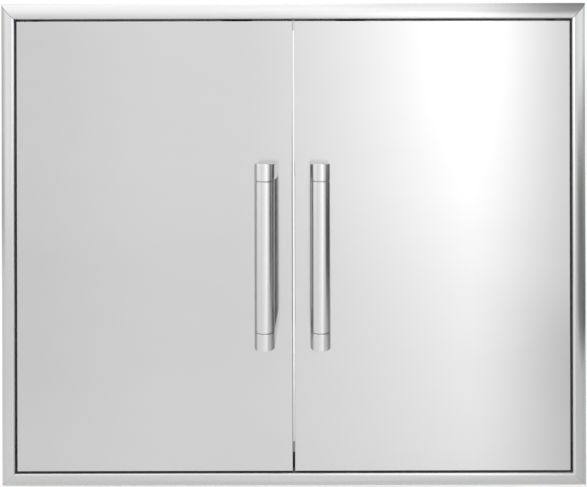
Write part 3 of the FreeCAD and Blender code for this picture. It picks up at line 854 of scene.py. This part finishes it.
# %% Shades
left_grey_low, left_grey_high = 0.60, 0.46
end_darkness, edge_darkness, floor_darkness = 0.82, 0.36, 0.25
band_darkness, under_darkness = 0.045, 0.15
left_shade = tent.product(tent.ramp(upward, 0.0, -0.14, left_grey_high, left_grey_low),
                          tent.window(azimuth, -170, -155, -108, -82),
                          tent.window(upward, -0.26, -0.12, 0.55, 0.75))
roof_end = tent.product(end_darkness, tent.ramp(to_right, 0.30, 0.47),
                        tent.ramp(overhead, 15, 60), tent.ramp(upward, 0.18, 0.42))
roof_edge = tent.product(edge_darkness, tent.ramp(to_right, 0.25, 0.60),
                         tent.ramp(overhead, 100, 130))
dull_floor = tent.product(floor_darkness, tent.ramp(to_right, 0.28, 0.52),
                          tent.ramp(upward, -0.27, -0.33))
floor_band = tent.product(band_darkness, tent.window(upward, -0.47, -0.40, -0.24, -0.10))
under_shade = tent.product(under_darkness, tent.ramp(overhead, -62, -100))
shades = (left_shade, roof_end, roof_edge, dull_floor, floor_band, under_shade)
print(len(shades), "shades")

# %% [markdown]
# ### The world's brightness
#
# White, plus the glows, dimmed by each shade in turn. The camera itself sees only plain white.

# %% The world
number_a, number_b = 2, 3                       # the sockets of a Mix node that mixes numbers
brightness = 1.0
for glow in glows:
    brightness = tent.math("ADD", brightness, glow)
for shade in shades:
    brightness = tent.product(brightness, tent.remaining(shade))
plain_for_camera = tent.add("ShaderNodeMix")
tent.feed(plain_for_camera.inputs[0], tent.add("ShaderNodeLightPath").outputs["Is Camera Ray"])
tent.feed(plain_for_camera.inputs[number_a], brightness)
tent.feed(plain_for_camera.inputs[number_b], 1.0)
background = tent.tree.nodes["Background"]
background.inputs["Color"].default_value = (1.0, 1.0, 1.0, 1.0)
tent.feed(background.inputs["Strength"], plain_for_camera.outputs[0])
print("the tent is made of", len(tent.tree.nodes), "nodes")

# %% [markdown]
# ## The lamp behind the cloth
#
# One tall soft lamp stands behind the tent's front wall, to the right of the camera. Its glow on
# the cloth gives the broad streak down the right door and the bright line down each handle: it dies
# away slowly to the left and quickly to the right. A lamp seen in a flat door and in a round bar
# shows at two places, and both agree with the photograph only when it is as near as the real one
# was. So this light is a sheet at its true distance, which adds its glow to whatever is behind it
# and doesn't show to the camera.

# %% A sheet of the studio
def studio_sheet(name, finish_name, corners):
    """A four-cornered sheet that isn't part of the object, and its finish."""
    mesh = bpy.data.meshes.new(name)
    mesh.from_pydata(corners, [], [(0, 1, 2, 3)])
    sheet = bpy.data.objects.new(name, mesh)
    bpy.context.scene.collection.objects.link(sheet)
    finish = Finish(finish_name, metallic=0.0)
    mesh.materials.append(finish.material)
    print(name, "from", corners[0], "to", corners[2])
    return sheet, finish


def light_sheet(name, corners):
    """A sheet that only adds or takes light: the camera doesn't see it and it has no shader."""
    sheet, finish = studio_sheet(name, name, corners)
    sheet.visible_camera = False
    finish.tree.nodes.remove(finish.shader)
    return finish


# %% Lamp
lamp_y = -1.11
lamp_left, lamp_peak, lamp_right = -0.24, 0.59, 1.07
lamp_foot, lamp_full, lamp_top, lamp_end = -1.58, 0.37, 1.20, 1.90
lamp_strength, slow_fall = 0.80, 1.5
lamp = light_sheet("lamp_sheet", [
    (lamp_left, lamp_y, lamp_foot), (lamp_right, lamp_y, lamp_foot),
    (lamp_right, lamp_y, lamp_end), (lamp_left, lamp_y, lamp_end)])
across, away, height = lamp.place_numbers()
slow_side = lamp.math("POWER", lamp.ramp(across, lamp_left, lamp_peak, shape="LINEAR"), slow_fall)
quick_side = lamp.ramp(across, lamp_right, lamp_peak)
glow = lamp.product(lamp_strength, slow_side, quick_side,
                    lamp.ramp(height, lamp_foot, lamp_full, shape="LINEAR"),
                    lamp.ramp(height, lamp_end, lamp_top))
glowing = lamp.add("ShaderNodeEmission")
lamp.feed(glowing.inputs["Strength"], glow)
added = lamp.add("ShaderNodeAddShader")
lamp.feed(added.inputs[0], glowing.outputs[0])
lamp.feed(added.inputs[1], lamp.add("ShaderNodeBsdfTransparent").outputs[0])
lamp.feed(lamp.surface, added.outputs[0])
print("lamp sheet", round(lamp_right - lamp_left, 2), "m wide")

# %% [markdown]
# ## The black cloth
#
# Black cloth hangs at the right, a metre away, and gives the round bars and the right rail their
# dark sides. It is a sheet as well, and dims what is seen through it. It is blackest low down, and
# fades out towards the front, towards the back and at its foot. Beside the doors its top fades away
# above the handles. Further back, where only the rail sees it, it hangs slack, and fades so slowly
# that some grey is left at its upper edge.

# %% Black cloth
cloth_x, cloth_darkness = 1.05, 0.92
cloth_front, cloth_black_front, cloth_black_back, cloth_back = -0.85, -0.42, 0.50, 0.95
cloth_foot, cloth_black_foot, cloth_black_top, cloth_top = -0.46, -0.34, -0.05, 0.36
slack_from_y, slack_to_y, slack_black_top, slack_top = -0.06, 0.20, -0.30, 0.50
cloth = light_sheet("black_cloth_sheet", [
    (cloth_x, cloth_front, cloth_foot), (cloth_x, cloth_back, cloth_foot),
    (cloth_x, cloth_back, cloth_top), (cloth_x, cloth_front, cloth_top)])
across, away, height = cloth.place_numbers()
slack = cloth.ramp(away, slack_from_y, slack_to_y)
taut_part = cloth.product(cloth.remaining(slack), cloth.ramp(height, cloth_top, cloth_black_top))
slack_part = cloth.product(slack, cloth.ramp(height, slack_top, slack_black_top, shape="LINEAR"))
sideways = cloth.window(away, cloth_front, cloth_black_front, cloth_black_back, cloth_back)
blackness = cloth.product(cloth_darkness, sideways, cloth.math("ADD", taut_part, slack_part),
                          cloth.ramp(height, cloth_foot, cloth_black_foot))
dimming = cloth.add("ShaderNodeBsdfTransparent")
cloth.feed(dimming.inputs["Color"], cloth.grey(cloth.remaining(blackness)))
cloth.feed(cloth.surface, dimming.outputs[0])
print("cloth", round(cloth_back - cloth_front, 2), "m wide")

# %% [markdown]
# ## The floor
#
# A pale matte sheet. In a tent the cloth goes on under the object, so seen directly the sheet is
# nearly nine tenths clear and shows the tent's white, and the rest keeps a trace of the object's
# soft shadow. Close behind the object it isn't clear, and its real shadow shows there: it is what
# greys the lower part of the gap between the doors. Mirrored in the steel the sheet is clearer
# still.

# %% Floor
floor_height, floor_reach = cad_low.z - 0.0005, 6.0
floor_grey, floor_roughness = 0.86, 0.9
_, floor = studio_sheet("studio_floor", "pale_floor", [
    (-floor_reach, -floor_reach, floor_height), (floor_reach, -floor_reach, floor_height),
    (floor_reach, floor_reach, floor_height), (-floor_reach, floor_reach, floor_height)])
floor.shader.inputs["Base Color"].default_value = (floor_grey, floor_grey, floor_grey, 1.0)
floor.shader.inputs["Roughness"].default_value = floor_roughness

# %% How clear the floor is
clear_when_seen, clear_when_mirrored = 0.88, 0.95
shadow_start, shadow_full, shadow_fades, shadow_end = -0.04, 0.08, 0.12, 0.70
shadow_core_width, shadow_width = 0.25, 0.50
across, away, _ = floor.place_numbers()
in_shadow = floor.product(floor.window(away, shadow_start, shadow_full, shadow_fades, shadow_end),
                          floor.ramp(floor.math("ABSOLUTE", across), shadow_width,
                                     shadow_core_width))
ray = floor.add("ShaderNodeLightPath")
mirrored = floor.math("MAXIMUM", ray.outputs["Is Glossy Ray"], ray.outputs["Is Transmission Ray"])
clear_share = floor.math(
    "MAXIMUM",
    floor.product(clear_when_seen, floor.remaining(in_shadow), ray.outputs["Is Camera Ray"]),
    floor.product(clear_when_mirrored, mirrored))
floor_mix = floor.add("ShaderNodeMixShader")
floor.feed(floor_mix.inputs[0], clear_share)
floor.feed(floor_mix.inputs[1], floor.shader.outputs[0])
floor.feed(floor_mix.inputs[2], floor.add("ShaderNodeBsdfTransparent").outputs[0])
floor.feed(floor.surface, floor_mix.outputs[0])
print("the floor is", clear_when_seen, "clear when seen and", clear_when_mirrored, "when mirrored")

# %% [markdown]
